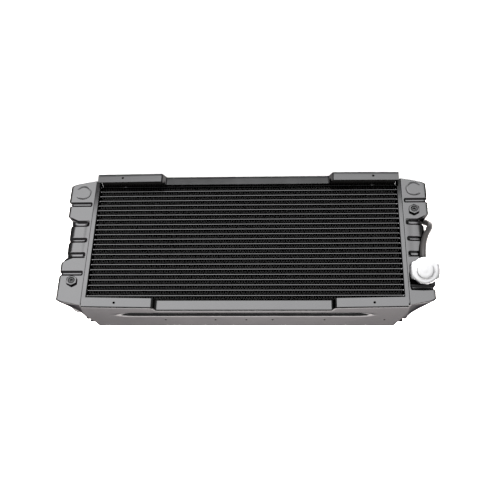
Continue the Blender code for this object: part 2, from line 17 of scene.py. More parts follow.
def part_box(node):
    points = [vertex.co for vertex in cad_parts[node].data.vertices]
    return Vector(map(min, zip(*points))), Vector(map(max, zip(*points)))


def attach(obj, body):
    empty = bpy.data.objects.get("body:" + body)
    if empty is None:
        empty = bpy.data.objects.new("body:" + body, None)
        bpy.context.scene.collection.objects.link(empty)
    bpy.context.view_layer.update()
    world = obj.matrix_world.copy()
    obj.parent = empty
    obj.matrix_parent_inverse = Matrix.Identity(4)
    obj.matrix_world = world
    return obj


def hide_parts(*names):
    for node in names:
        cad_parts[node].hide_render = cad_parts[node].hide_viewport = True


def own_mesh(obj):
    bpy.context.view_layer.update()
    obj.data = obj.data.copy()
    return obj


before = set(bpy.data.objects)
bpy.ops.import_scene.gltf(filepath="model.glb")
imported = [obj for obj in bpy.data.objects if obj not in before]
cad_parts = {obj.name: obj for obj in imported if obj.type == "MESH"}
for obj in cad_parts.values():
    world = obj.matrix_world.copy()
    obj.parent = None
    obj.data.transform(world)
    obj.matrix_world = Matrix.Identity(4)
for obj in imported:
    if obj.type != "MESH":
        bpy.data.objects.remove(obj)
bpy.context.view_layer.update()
tube_low, tube_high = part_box("tube_01")
CORE_X = (tube_low.x + tube_high.x) / 2
ROOT = "root"
print("the core's middle is at x =", round(CORE_X, 5))

# %% [markdown]
# ## Camera, floor and light
# Glossy black paint has no colour of its own: what it shows is the room. So the light comes
# first. The sky is a dim wall with one wide softbox high up behind the part, and a weaker patch
# straight overhead. A level face seen from the front mirrors the softbox, and a tilted face
# the wall. The camera itself sees plain white behind the part. The floor is white too, and a
# lamp in front brightens it, because the near side channel mirrors it.

# %% Camera
CAMERA_AT = (0.1109, -0.9521, 1.6699)
AZIMUTH = 6.40
ELEVATION = 59.62
ROLL = -5.80
LENS = 61.2
scene = bpy.context.scene
camera = bpy.data.objects.new("camera", bpy.data.cameras.new("camera"))
scene.collection.objects.link(camera)
camera.data.lens = LENS
camera.data.sensor_width = 36
camera.data.clip_start = 0.02
turn = Matrix.Rotation(radians(AZIMUTH), 4, "Z")
tilt = Matrix.Rotation(radians(90 - ELEVATION), 4, "X")
roll = Matrix.Rotation(radians(ROLL), 4, "Z")
camera.matrix_world = Matrix.Translation(CAMERA_AT) @ turn @ tilt @ roll
scene.camera = camera
scene.view_settings.view_transform = "Standard"
print("camera height", round(camera.matrix_world.translation.z, 3))


# %% Node helper
def add(tree, kind, inputs=None, **settings):
    """A node with its settings; an input is a value or another node's output."""
    node = tree.nodes.new(kind)
    for key, value in settings.items():
        setattr(node, key, value)
    for key, value in (inputs or {}).items():
        if isinstance(value, bpy.types.NodeSocket):
            tree.links.new(value, node.inputs[key])
        else:
            node.inputs[key].default_value = value
    return node


# %% Sky
SOFTBOX = 7.4
SOFTBOX_FAR = 0.66 * SOFTBOX
WALL = 0.35
ZENITH = 2.0
BOX_ABOVE = (0.71, 0.78)
BOX_BEHIND = (0.08, 0.28)
BOX_FADE = (-0.45, 0.30)
OVERHEAD = (0.94, 0.985)
world = bpy.data.worlds.new("studio")
world.use_nodes = True
scene.world = world
tree = world.node_tree
tree.nodes.clear()
ray = add(tree, "ShaderNodeTexCoord").outputs["Generated"]
toward = add(tree, "ShaderNodeSeparateXYZ", {0: ray}).outputs


def between(value, edges, low, high, blend="SMOOTHSTEP"):
    """Goes from low to high while a part of the ray's direction goes from edge to edge."""
    return add(tree, "ShaderNodeMapRange", {"Value": value, "From Min": edges[0], "From Max": edges[1],
                                            "To Min": low, "To Max": high},
               interpolation_type=blend).outputs[0]


above = between(toward["Z"], BOX_ABOVE, 0.0, 1.0)
behind = between(toward["Y"], BOX_BEHIND, 0.0, 1.0)
box = add(tree, "ShaderNodeMath", {0: above, 1: behind}, operation="MULTIPLY").outputs[0]
fade = between(toward["X"], BOX_FADE, SOFTBOX, SOFTBOX_FAR, "LINEAR")
zenith = between(toward["Z"], OVERHEAD, WALL, ZENITH)
room = add(tree, "ShaderNodeMix", {0: box, 2: zenith, 3: fade}).outputs[0]
seen = add(tree, "ShaderNodeLightPath").outputs["Is Camera Ray"]
power = add(tree, "ShaderNodeMix", {0: seen, 2: room, 3: 1.0}).outputs[0]
sky = add(tree, "ShaderNodeBackground", {"Color": (1.0, 1.0, 1.0, 1), "Strength": power})
add(tree, "ShaderNodeOutputWorld", {"Surface": sky.outputs[0]})
print("softbox", SOFTBOX, "wall", WALL)

# %% Front light
front = bpy.data.lights.new("front_light", "AREA")
front.shape = "RECTANGLE"
front.size = 1.2
front.size_y = 0.3
front.energy = 32.0
front.spread = radians(70)
front.color = (1.0, 0.95, 0.93)
lamp = bpy.data.objects.new("front_light", front)
scene.collection.objects.link(lamp)
lamp.location = (0, -0.75, 0.85)
lamp.rotation_euler = (radians(32), 0, 0)
lamp.visible_glossy = False
print("front light", front.energy, "W")

# %% Floor
FLOOR_HALF = 30
FLOOR_Z = -0.0002
corners = [(x * FLOOR_HALF, y * FLOOR_HALF, FLOOR_Z) for x, y in ((-1, -1), (1, -1), (1, 1), (-1, 1))]
floor_mesh = bpy.data.meshes.new("floor")
floor_mesh.from_pydata(corners, [], [(0, 1, 2, 3)])
floor = bpy.data.objects.new("floor", floor_mesh)
scene.collection.objects.link(floor)
floor_paint = bpy.data.materials.new("floor_white")
floor_paint.use_nodes = True
floor_shader = floor_paint.node_tree.nodes["Principled BSDF"]
floor_shader.inputs["Base Color"].default_value = (0.93, 0.915, 0.91, 1)
floor_shader.inputs["Roughness"].default_value = 0.9
floor_mesh.materials.append(floor_paint)
print("floor", 2 * FLOOR_HALF, "m wide")

# %% [markdown]
# ## Finishes
# Each finish is a small shader made from noise: the colour drifts a little, the roughness
# varies as real paint does, and a fine bump gives orange peel or drawn wire. Patterns are
# measured on object coordinates, in metres, so they stay put when the part moves. The gloss
# paint is set up as a very dark metal with a dark edge tint, so that it mirrors the studio
# evenly and its outlines go black.


# %% A finish with noise in it
def finish(name, dark, light, rough, metallic, grain, bump, ior=1.5, stretch=(1, 1, 1), drift=18):
    """Principled shader: colour and roughness drift, grain gives a fine bump."""
    material = bpy.data.materials.new(name)
    material.use_nodes = True
    tree = material.node_tree
    shader = tree.nodes["Principled BSDF"]
    place = add(tree, "ShaderNodeTexCoord").outputs["Object"]
    cloud = add(tree, "ShaderNodeTexNoise", {"Vector": place, "Scale": drift, "Detail": 6.0,
                                             "Roughness": 0.62}).outputs["Fac"]
    colour = add(tree, "ShaderNodeMix", {0: cloud, 6: (*dark, 1), 7: (*light, 1)}, data_type="RGBA")
    spread = add(tree, "ShaderNodeMapRange", {"Value": cloud, "From Min": 0.3, "From Max": 0.7,
                                              "To Min": rough[0], "To Max": rough[1]})
    along = add(tree, "ShaderNodeMapping", {"Vector": place, "Scale": stretch}).outputs[0]
    fine = add(tree, "ShaderNodeTexNoise", {"Vector": along, "Scale": grain, "Detail": 2.0})
    rise = add(tree, "ShaderNodeBump", {"Height": fine.outputs["Fac"], "Strength": bump[0],
                                        "Distance": bump[1]})
    tree.links.new(colour.outputs[2], shader.inputs["Base Color"])
    tree.links.new(spread.outputs[0], shader.inputs["Roughness"])
    tree.links.new(rise.outputs[0], shader.inputs["Normal"])
    shader.inputs["Metallic"].default_value = metallic
    shader.inputs["IOR"].default_value = ior
    return material


# %% Paints, metals and rubber
PAINT = finish("black_paint_gloss", (0.052, 0.052, 0.053), (0.061, 0.061, 0.062), (0.12, 0.19), 1,
               520, (0.05, 0.0003))
paint_shader = PAINT.node_tree.nodes["Principled BSDF"]
paint_shader.inputs["Specular Tint"].default_value = (0.30, 0.30, 0.30, 1)
CORE = finish("core_black_satin", (0.0012, 0.0012, 0.0012), (0.0034, 0.0034, 0.0034), (0.24, 0.34), 0,
              900, (0.15, 0.0003), ior=1.33, drift=40)
ZINC = finish("zinc_bright", (0.74, 0.74, 0.75), (0.86, 0.86, 0.87), (0.26, 0.36), 1,
              300, (0.10, 0.0003), stretch=(1, 8, 1), drift=60)
SPRING = finish("spring_steel_drawn", (0.46, 0.46, 0.47), (0.62, 0.62, 0.64), (0.24, 0.36), 1,
                900, (0.2, 0.0003), drift=90)
BRASS = finish("valve_brass_turned", (0.62, 0.45, 0.18), (0.80, 0.62, 0.30), (0.22, 0.34), 1,
               1400, (0.15, 0.0002), drift=120)
RUBBER = finish("rubber_black", (0.010, 0.010, 0.010), (0.022, 0.021, 0.021), (0.30, 0.42), 0,
                1500, (0.20, 0.0002), ior=1.38, drift=70)
PLUG = finish("plug_phosphate", (0.025, 0.025, 0.026), (0.07, 0.07, 0.072), (0.30, 0.42), 1,
              1600, (0.3, 0.0003), drift=150)
SOLDER = finish("solder_tin", (0.22, 0.22, 0.225), (0.42, 0.42, 0.43), (0.28, 0.44), 1,
                700, (0.4, 0.0006), drift=200)

# %% [markdown]
# ## Tools of the bench
# Most pieces are sheet metal or turned parts. A sheet is a grid of rows that Solidify thickens;
# a turned part is a profile swept round an axis. A finished piece keeps its object at the
# origin, so its place goes into the mesh.


# %% Mesh tools
def new_object(name, mesh):
    obj = bpy.data.objects.new(name, mesh)
    scene.collection.objects.link(obj)
    return obj


def mesh_object(name, points, faces):
    mesh = bpy.data.meshes.new(name)
    mesh.from_pydata([tuple(p) for p in points], [], faces)
    bm = bmesh.new()
    bm.from_mesh(mesh)
    bmesh.ops.remove_doubles(bm, verts=bm.verts, dist=0.00002)
    bmesh.ops.dissolve_degenerate(bm, edges=bm.edges, dist=0.00001)
    bm.to_mesh(mesh)
    bm.free()
    return new_object(name, mesh)


def grid_faces(rows, columns, closed=False):
    wrap = columns if closed else columns - 1
    return [(r * columns + c, (r + 1) * columns + c, (r + 1) * columns + (c + 1) % columns,
             r * columns + (c + 1) % columns) for r in range(rows - 1) for c in range(wrap)]


def bake(obj):
    """Turns an object's modifiers into plain mesh."""
    depsgraph = bpy.context.evaluated_depsgraph_get()
    mesh = bpy.data.meshes.new_from_object(obj.evaluated_get(depsgraph))
    obj.modifiers.clear()
    obj.data = mesh
    return obj


def outward(obj):
    """Recalculates a closed mesh's normals so that they face out."""
    bm = bmesh.new()
    bm.from_mesh(obj.data)
    bmesh.ops.recalc_face_normals(bm, faces=bm.faces)
    bm.to_mesh(obj.data)
    bm.free()


def thicken(obj, thickness):
    """Gives a sheet a wall that grows away from its normals."""
    solid = obj.modifiers.new("wall", "SOLIDIFY")
    solid.thickness = thickness
    solid.offset = -1


def bevel(obj, width, segments, angle):
    soft = obj.modifiers.new("soft_edges", "BEVEL")
    soft.width = width
    soft.segments = segments
    soft.limit_method = "ANGLE"
    soft.angle_limit = radians(angle)


def cut(obj, tool):
    """Cuts a tool out of a piece and throws the tool away."""
    boolean = obj.modifiers.new("cut", "BOOLEAN")
    boolean.operation = "DIFFERENCE"
    boolean.solver = "EXACT"
    boolean.object = tool
    bake(obj)
    bpy.data.objects.remove(tool, do_unlink=True)


def done(obj, material, body, nodes=(), smooth=35):
    """Gives a piece its finish and its body, and hides the CAD nodes that it stands for."""
    obj.data.materials.clear()
    obj.data.materials.append(material)
    obj.data.polygons.foreach_set("material_index", [0] * len(obj.data.polygons))
    obj.data.shade_smooth()
    obj.data.set_sharp_from_angle(angle=radians(smooth))
    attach(obj, body)
    if nodes:
        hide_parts(*nodes)
    print(obj.name, len(obj.data.polygons), "faces")
    return obj


def turned(name, profile, axis, steps=72, closed=True):
    """Sweeps (radius, height) points round an axis given as a matrix."""
    points = []
    for radius, height in profile:
        for i in range(steps):
            angle = 2 * pi * i / steps
            points.append(axis @ Vector((radius * cos(angle), radius * sin(angle), height)))
    loop = profile + profile[:1] if closed else profile
    faces = []
    for r in range(len(loop) - 1):
        for c in range(steps):
            a, b = r * steps + c, r * steps + (c + 1) % steps
            down = ((r + 1) % len(profile)) * steps
            faces.append((a, b, down + (c + 1) % steps, down + c))
    obj = mesh_object(name, points, faces)
    outward(obj)
    return obj


def rounded(profile, radius, steps=3):
    """Rounds a closed profile's corners."""
    result = []
    count = len(profile)
    for i in range(count):
        here = Vector(profile[i])
        back = Vector(profile[i - 1]) - here
        ahead = Vector(profile[(i + 1) % count]) - here
        reach = min(radius, back.length * 0.45, ahead.length * 0.45)
        start, end = here + back.normalized() * reach, here + ahead.normalized() * reach
        if here.x < 1e-6:
            result.append(tuple(here))
            continue
        for k in range(steps + 1):
            t = k / steps
            result.append(tuple((1 - t) ** 2 * start + 2 * t * (1 - t) * here + t * t * end))
    return result


def smoothstep(low, high, x):
    t = np.clip((np.asarray(x, float) - low) / (high - low), 0, 1)
    return t * t * (3 - 2 * t)


# %% [markdown]
# ## Overflow hose
# A short rubber hose is pushed over the neck's overflow pipe, crosses the tank, goes over its
# outer edge and lies along the floor behind it. Its route is one smooth curve, swept into a
# hollow tube, since a real hose shows its wall at the open end.

# %% Hose route
HOSE_ROUTE = (
    (0.3794, -0.0592, 0.0885), (0.3795, -0.0515, 0.0885), (0.3798, -0.0430, 0.0884),
    (0.3805, -0.0340, 0.0880), (0.3817, -0.0240, 0.0867), (0.3836, -0.0140, 0.0849),
    (0.3862, -0.0040, 0.0834), (0.3896, 0.0060, 0.0819), (0.3932, 0.0145, 0.0799),
    (0.3970, 0.0225, 0.0774), (0.4008, 0.0305, 0.0740), (0.4035, 0.0390, 0.0687),
    (0.4042, 0.0475, 0.0610), (0.4028, 0.0565, 0.0510), (0.4003, 0.0655, 0.0405),
    (0.3978, 0.0745, 0.0305), (0.3959, 0.0840, 0.0215), (0.3949, 0.0945, 0.0142),
    (0.3945, 0.1060, 0.0094), (0.3944, 0.1190, 0.0073), (0.3943, 0.1330, 0.0069),
    (0.3942, 0.1490, 0.0069), (0.3940, 0.1660, 0.0069))
HOSE_R = 0.0066
HOSE_BORE_R = 0.0041
hose_points = [Vector((x + CORE_X, y, z)) for x, y, z in HOSE_ROUTE]


# %% Hose tube
def smooth_route(points, per_span):
    """Catmull-Rom points through a route."""
    knots = [2 * points[0] - points[1]] + list(points) + [2 * points[-1] - points[-2]]
    result = []
    for i in range(1, len(knots) - 2):
        a, b, c, d = knots[i - 1:i + 3]
        for k in range(per_span):
            t = k / per_span
            result.append(0.5 * (2 * b + (c - a) * t + (2 * a - 5 * b + 4 * c - d) * t ** 2
                                 + (3 * b - a - 3 * c + d) * t ** 3))
    return result + [knots[-2]]


def tube_along(name, route, rings, steps=32):
    """Sweeps closed rings of given radii along a route: out along, back inside."""
    frames = []
    side = Vector((1, 0, 0))
    for i, point in enumerate(route):
        ahead = (route[min(i + 1, len(route) - 1)] - route[max(i - 1, 0)]).normalized()
        side = (side - ahead * side.dot(ahead)).normalized()
        frames.append((point, side, ahead.cross(side)))
    points = []
    loop = [(f, rings[0]) for f in frames] + [(f, rings[1]) for f in reversed(frames)]
    angles = [2 * pi * k / steps for k in range(steps)]
    for (point, u, v), radius in loop:
        points += [point + radius * (cos(angle) * u + sin(angle) * v) for angle in angles]
    rows = len(loop)
    faces = [(r * steps + k, r * steps + (k + 1) % steps, (r + 1) % rows * steps + (k + 1) % steps,
              (r + 1) % rows * steps + k) for r in range(rows) for k in range(steps)]
    obj = mesh_object(name, points, faces)
    outward(obj)
    return obj


hose = tube_along("overflow_hose_rubber", smooth_route(hose_points, 4), (HOSE_R, HOSE_BORE_R))
done(hose, RUBBER, ROOT, ["overflow_hose"])

# %% [markdown]
# ## Core: fins and tubes
# The core repeats, so Geometry Nodes make it. One fin is a grid whose columns are moved up and
# down into folds, then given the thickness of foil, and a line of points carries a copy of it
# into each gap between the tubes. The tubes are one flat rounded section swept along a line
# and repeated the same way. Realize Instances turns the copies into mesh.

# %% Sizes of the core
PITCH = 0.0127
TUBES = 24
CORE_LOW = tube_low.z
CORE_HIGH = tube_high.z
FIN_HALF_X = 0.3312
core_middle = (CORE_LOW + CORE_HIGH) / 2
print("core from", round(CORE_LOW, 4), "to", round(CORE_HIGH, 4))


# %% Geometry Nodes helper
def node_piece(name, tree):
    """An empty mesh with a tree as its only modifier."""
    obj = new_object(name, bpy.data.meshes.new(name))
    obj.modifiers.new("nodes", "NODES").node_group = tree
    return obj


def new_tree(name, sizes):
    """A node group with named size inputs and a geometry output."""
    tree = bpy.data.node_groups.new(name, "GeometryNodeTree")
    tree.interface.new_socket("Geometry", in_out="OUTPUT", socket_type="NodeSocketGeometry")
    for label, value in sizes.items():
        kind = "NodeSocketInt" if isinstance(value, int) else "NodeSocketFloat"
        tree.interface.new_socket(label, in_out="INPUT", socket_type=kind)
    return tree, tree.nodes.new("NodeGroupInput").outputs


def set_sizes(obj, tree, sizes):
    """Sets the modifier's inputs by socket identifier, then makes the result plain mesh."""
    modifier = obj.modifiers["nodes"]
    for item in tree.interface.items_tree:
        if item.in_out == "INPUT":
            modifier[item.identifier] = sizes[item.name]
    return bake(obj)


def close_tree(tree, geometry, material):
    real = add(tree, "GeometryNodeRealizeInstances", {0: geometry}).outputs[0]
    painted = add(tree, "GeometryNodeSetMaterial", {"Geometry": real, "Material": material})
    tree.links.new(painted.outputs[0], tree.nodes.new("NodeGroupOutput").inputs[0])


def math(tree, operation, a, b=0.0):
    return add(tree, "ShaderNodeMath", {0: a, 1: b}, operation=operation).outputs[0]


def in_a_row(tree, item, count, start, pitch):
    """Copies of an item on a line of points along Y."""
    step = add(tree, "ShaderNodeCombineXYZ", {1: pitch}).outputs[0]
    line = add(tree, "GeometryNodeMeshLine", {"Count": count, "Start Location": start,
                                              "Offset": step}).outputs[0]
    return add(tree, "GeometryNodeInstanceOnPoints", {"Points": line, "Instance": item}).outputs[0]


# %% Folded fins
FLAT_SIDES = 1.6
fin_sizes = {"Length": 2 * FIN_HALF_X, "Depth": CORE_HIGH - CORE_LOW - 0.0030, "Half height": 0.0051,
             "Fold": 0.0056, "Foil": 0.0003, "Columns": 474, "Rows": TUBES + 1, "Row step": PITCH}
tree, given = new_tree("folded_fins", fin_sizes)
grid = add(tree, "GeometryNodeMeshGrid", {"Size X": given["Length"], "Size Y": given["Depth"],
                                          "Vertices X": given["Columns"], "Vertices Y": 2}).outputs["Mesh"]
place = add(tree, "GeometryNodeInputPosition").outputs[0]
spot = add(tree, "ShaderNodeSeparateXYZ", {0: place}).outputs
folds = math(tree, "DIVIDE", spot[0], given["Fold"])
phase = math(tree, "ADD", math(tree, "MULTIPLY", folds, 2 * pi), pi / 4)
steep = math(tree, "MULTIPLY", math(tree, "SINE", phase), FLAT_SIDES)
wave = add(tree, "ShaderNodeClamp", {"Value": steep, "Min": -1.0, "Max": 1.0}).outputs[0]
height = math(tree, "MULTIPLY", wave, given["Half height"])
folded = add(tree, "ShaderNodeCombineXYZ", {0: spot[0], 1: height, 2: spot[1]}).outputs[0]
sheet = add(tree, "GeometryNodeSetPosition", {"Geometry": grid, "Position": folded}).outputs[0]
raised = add(tree, "GeometryNodeExtrudeMesh", {"Mesh": sheet, "Offset Scale": given["Foil"],
                                               "Individual": False}).outputs["Mesh"]
under = add(tree, "GeometryNodeFlipFaces", {0: sheet}).outputs[0]
joined = tree.nodes.new("GeometryNodeJoinGeometry")
tree.links.new(raised, joined.inputs[0])
tree.links.new(under, joined.inputs[0])
fin = add(tree, "GeometryNodeMergeByDistance", {"Geometry": joined.outputs[0],
                                                "Distance": 0.00001}).outputs[0]
first_row = (CORE_X, -TUBES / 2 * PITCH, core_middle)
close_tree(tree, in_a_row(tree, fin, given["Rows"], first_row, given["Row step"]), CORE)
fins = set_sizes(node_piece("folded_fins", tree), tree, fin_sizes)
outward(fins)
done(fins, CORE, ROOT, ["fin_pack"], smooth=20)

# %% Flat tubes
tube_sizes = {"Half length": 0.3405, "Width": CORE_HIGH - CORE_LOW, "Thick": 0.0020, "Nose": 0.0005,
              "Count": TUBES, "Pitch": PITCH}
tree, given = new_tree("flat_tubes", tube_sizes)
far_left = math(tree, "MULTIPLY", given["Half length"], -1.0)
start = add(tree, "ShaderNodeCombineXYZ", {0: far_left}).outputs[0]
end = add(tree, "ShaderNodeCombineXYZ", {0: given["Half length"]}).outputs[0]
spine = add(tree, "GeometryNodeCurvePrimitiveLine", {"Start": start, "End": end}).outputs[0]
flat = add(tree, "GeometryNodeCurvePrimitiveQuadrilateral", {"Width": given["Thick"],
                                                             "Height": given["Width"]}).outputs[0]
nosed = add(tree, "GeometryNodeFilletCurve", {"Curve": flat, "Radius": given["Nose"]}, mode="POLY")
nosed.inputs[1].default_value = 5  # points in each rounded corner
tube = add(tree, "GeometryNodeCurveToMesh", {"Curve": spine, "Profile Curve": nosed.outputs[0],
                                             "Fill Caps": True}).outputs[0]
first_tube = (CORE_X, -(TUBES - 1) / 2 * PITCH, core_middle)
close_tree(tree, in_a_row(tree, tube, given["Count"], first_tube, given["Pitch"]), CORE)
tubes = set_sizes(node_piece("flat_tubes", tree), tree, tube_sizes)
spread = np.ptp(np.array([v.co for v in tubes.data.vertices]), axis=0)
print("tubes measure", [round(float(v), 4) for v in spread])
outward(tubes)
done(tubes, PAINT, ROOT, [f"tube_{i:02d}" for i in range(1, TUBES + 1)], smooth=50)

# %% [markdown]
# ## Header plates
# A header is a pressed tray: the tubes pass through its floor and are soldered there, and its
# rim is folded round the tank's lip. The tray is a box with soft edges and one side left open.
# The solder is a small bead at the nose of each tube.

# %% Header trays
HEADER_RIM = 0.3449
HEADER_FLOOR = 0.3360
HEADER_HALF_Y = 0.1590
HEADER_CORNER = 0.004
HEADER_BEND = 0.0012
HEADER_WALL = 0.0013
SLOT = Vector((0.006, 0.0026, CORE_HIGH - CORE_LOW + 0.0006))
header_low, header_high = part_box("left_header_plate")


def outward_sheet(obj, direction):
    """Turns an open sheet so that its largest face looks along a direction."""
    largest = max(obj.data.polygons, key=lambda p: p.area)
    if largest.normal.dot(direction) < 0:
        obj.data.flip_normals()


def header_outline():
    """A rectangle with round corners, as (y, which half in z, height from the corner's middle)."""
    outline = []
    for y, z, start_angle in ((1, 1, 0), (-1, 1, 90), (-1, -1, 180), (1, -1, 270)):
        for k in range(5):
            angle = radians(start_angle + 90 * k / 4)
            reach = y * (HEADER_HALF_Y - HEADER_CORNER) + HEADER_CORNER * cos(angle)
            outline.append((reach, z, HEADER_CORNER * sin(angle)))
    return outline


def slot_cutter(name, side):
    """One box through the header's floor for each tube."""
    slots = bmesh.new()
    for i in range(TUBES):
        y = (i - (TUBES - 1) / 2) * PITCH
        made = bmesh.ops.create_cube(slots, size=1)["verts"]
        bmesh.ops.scale(slots, vec=SLOT, verts=made)
        bmesh.ops.translate(slots, vec=(side * HEADER_FLOOR + CORE_X, y, core_middle), verts=made)
    mesh = bpy.data.meshes.new(name)
    slots.to_mesh(mesh)
    slots.free()
    return new_object(name, mesh)


def header(name, node, side):
    """A tray whose mouth looks at the tank: rim, bend and floor, with a slot for each tube."""
    rings = ((HEADER_RIM, 0), (HEADER_FLOOR + HEADER_BEND, 0), (HEADER_FLOOR, HEADER_BEND))
    outline = header_outline()
    middle, half = (header_high.z + header_low.z) / 2, (header_high.z - header_low.z) / 2
    points = []
    for x, inset in rings:
        for y, z_side, rise in outline:
            height = z_side * (half - HEADER_CORNER) + rise
            points.append((side * x + CORE_X, y * (1 - inset / HEADER_HALF_Y),
                           middle + height * (1 - inset / half)))
    count = len(outline)
    faces = grid_faces(len(rings), count, True)
    faces.append(tuple(2 * count + i for i in range(count)))
    if side < 0:
        faces = [face[::-1] for face in faces]
    tray = mesh_object(name, points, faces)
    outward_sheet(tray, Vector((-side, 0, 0)))
    thicken(tray, HEADER_WALL)
    bake(tray)
    cut(tray, slot_cutter(name + "_slots", side))
    done(tray, PAINT, ROOT, [node], smooth=40)


header("left_header_tray", "left_header_plate", -1)
header("right_header_tray", "right_header_plate", 1)

# %% Solder beads
solder_sizes = {"Count": TUBES, "Pitch": PITCH, "Bead": 0.0019}
tree, given = new_tree("solder_beads", solder_sizes)
ball = add(tree, "GeometryNodeMeshUVSphere", {"Segments": 12, "Rings": 7,
                                              "Radius": given["Bead"]}).outputs[0]
squashed = add(tree, "GeometryNodeTransform", {"Geometry": ball, "Scale": (0.8, 1.15, 0.8)}).outputs[0]
both = tree.nodes.new("GeometryNodeJoinGeometry")
for side in (-1, 1):
    first_bead = (side * (HEADER_FLOOR - 0.0008) + CORE_X, -(TUBES - 1) / 2 * PITCH, CORE_HIGH - 0.0012)
    tree.links.new(in_a_row(tree, squashed, given["Count"], first_bead, given["Pitch"]), both.inputs[0])
close_tree(tree, both.outputs[0], SOLDER)
solder = set_sizes(node_piece("solder_beads", tree), tree, solder_sizes)
done(solder, SOLDER, ROOT, smooth=60)

# %% [markdown]
# ## Side channels
# Each channel is a strip folded into a U. Its front flange stands proud of the core at the ends
# and steps down in the middle, where the pressing is joggled. A formula gives the flange's
# height at any length, and the folds are arcs, so that light rolls round them in a thin line.

# %% Channel shape
CHANNEL_HALF_X = 0.3410
CHANNEL_HALF_Y = 0.1700
FLANGE = 0.0230
FOLD_R = 0.0030
WEB_END = 0.3170
CHAMFER_TOP = 0.0630
SQUARE_TO = 0.30
SHEET = 0.0015
RIB_HALF = 0.2720
RIB_Z = 0.0560
RIB_SINK = 0.0060
WEB_STEPS = 40


def flange_height(x, levels):
    """Height of the front flange: middle, ramp and end levels, eased."""
    (inner, middle), (outer, top), (_, last) = levels
    ramp = float(smoothstep(inner + 0.0025, outer - 0.0025, abs(x)))
    past = max(0.0, abs(x) - outer) / (CHANNEL_HALF_X - outer)
    return middle + (top - middle) * ramp + (last - top) * past


def fold(x0, z0, turn_from, steps=6):
    """Quarter arc about a point, as (inward, z) pairs."""
    return [(x0 + FOLD_R * cos(radians(turn_from + 90 * k / steps)),
             z0 + FOLD_R * sin(radians(turn_from + 90 * k / steps))) for k in range(steps + 1)]


def channel_section(x, levels, lean, rib):
    """One section of the U, as (inward, z) pairs: front flange, web with its rib, back flange."""
    front = flange_height(x, levels)
    at_end = float(smoothstep(levels[0][0], levels[1][0], abs(x)))
    rise = FLANGE * tan(lean[0] + (lean[1] - lean[0]) * at_end)
    section = [(FLANGE - k * (FLANGE - FOLD_R) / 4, front + rise * (1 - k / 4)) for k in range(4)]
    section += fold(FOLD_R, front - FOLD_R, 90)
    top = front - FOLD_R
    for k in range(1, WEB_STEPS):
        z = top + (FOLD_R - top) * k / WEB_STEPS
        sink = 0.0
        if rib:
            taper = float(smoothstep(RIB_HALF + 0.004, RIB_HALF - 0.030, abs(x)))
            half = 0.0030 + 0.0058 * taper
            sink = RIB_SINK * taper ** 0.7 * float(smoothstep(half, half * 0.12, abs(z - RIB_Z)))
        section.append((sink, z))
    section += fold(FOLD_R, FOLD_R, 180)
    section += [(FOLD_R + k * (FLANGE - FOLD_R) / 4, 0.0) for k in range(1, 5)]
    return section


def channel(name, side, levels, lean, rib):
    """Sections from end to end, closer together where the shape changes; the web's ends lean in."""
    inner, outer = levels[0][0], levels[1][0]
    ends = [CHANNEL_HALF_X, 0.3395, 0.3350, 0.3290, 0.3200, 0.3100, 0.3000, 0.2900, 0.2800,
            0.2740, 0.2700, 0.2660, 0.2600, 0.2540, 0.2480, 0.2400, 0.2300, 0.2150]
    ramp = [outer + 0.0030 - (outer - inner + 0.0060) * k / 16 for k in range(17)]
    middle = [0.165, 0.15, 0.13, 0.11, 0.09, 0.07, 0.05, 0.03, 0.01]
    half = ends + ramp + middle
    stations = [-x for x in half] + half[::-1]
    rows = []
    for x in stations:
        row = []
        for inward, z in channel_section(x, levels, lean, rib):
            limit = WEB_END + (CHANNEL_HALF_X - WEB_END) * min(1.0, max(0.0, z) / CHAMFER_TOP)
            reach = abs(x)
            if reach > SQUARE_TO:
                squeeze = (limit - SQUARE_TO) / (CHANNEL_HALF_X - SQUARE_TO)
                reach = SQUARE_TO + (reach - SQUARE_TO) * squeeze
            row.append(((reach if x > 0 else -reach) + CORE_X, side * (CHANNEL_HALF_Y - inward), z))
        rows.append(row)
    points = [p for row in rows for p in row]
    faces = grid_faces(len(rows), len(rows[0]))
    if side < 0:
        faces = [f[::-1] for f in faces]
    obj = mesh_object(name, points, faces)
    web = [p for p in obj.data.polygons if abs(p.center.z - 0.03) < 0.01]
    if sum(p.normal.y for p in web) * side < 0:
        obj.data.flip_normals()
    thicken(obj, SHEET)
    return bake(obj)


def peg(name, centre, radius, reach, along_y, steps=32):
    """A round cutter along Z or Y."""
    axis = Matrix.Translation(centre) @ Matrix.Rotation(radians(90) if along_y else 0, 4, "X")
    return turned(name, [(0, -reach), (radius, -reach), (radius, reach), (0, reach)], axis, steps, False)


# %% Near channel
FLANGE_HOLE_R = 0.0028
WEB_HOLE_R = 0.0022
HOLE_Y = CHANNEL_HALF_Y - FLANGE / 2
NEAR_LEVELS = ((0.180, 0.0760), (0.198, 0.0880), (CHANNEL_HALF_X, 0.0930))
near = channel("upper_side_channel", -1, NEAR_LEVELS, (radians(0.8), 0.0), True)
for x in (-0.272, 0.272):
    cut(near, peg("hole", (x + CORE_X, -HOLE_Y, 0.092), FLANGE_HOLE_R, 0.010, False))
for x in (-0.169, -0.062, 0.004, 0.060, 0.170, 0.296):
    cut(near, peg("hole", (x + CORE_X, -CHANNEL_HALF_Y, 0.032), WEB_HOLE_R, 0.006, True))
done(near, PAINT, ROOT, ["upper_channel"], smooth=45)

# %% Far channel
FAR_LEVELS = ((0.181, 0.0793), (0.198, 0.0938), (CHANNEL_HALF_X, 0.0920))
far = channel("lower_side_channel", 1, FAR_LEVELS, (radians(3.6), radians(1.9)), False)
for x in (-0.284, 0.284):
    cut(far, peg("hole", (x + CORE_X, HOLE_Y, 0.092), FLANGE_HOLE_R, 0.010, False))
done(far, PAINT, ROOT, ["lower_channel"], smooth=45)

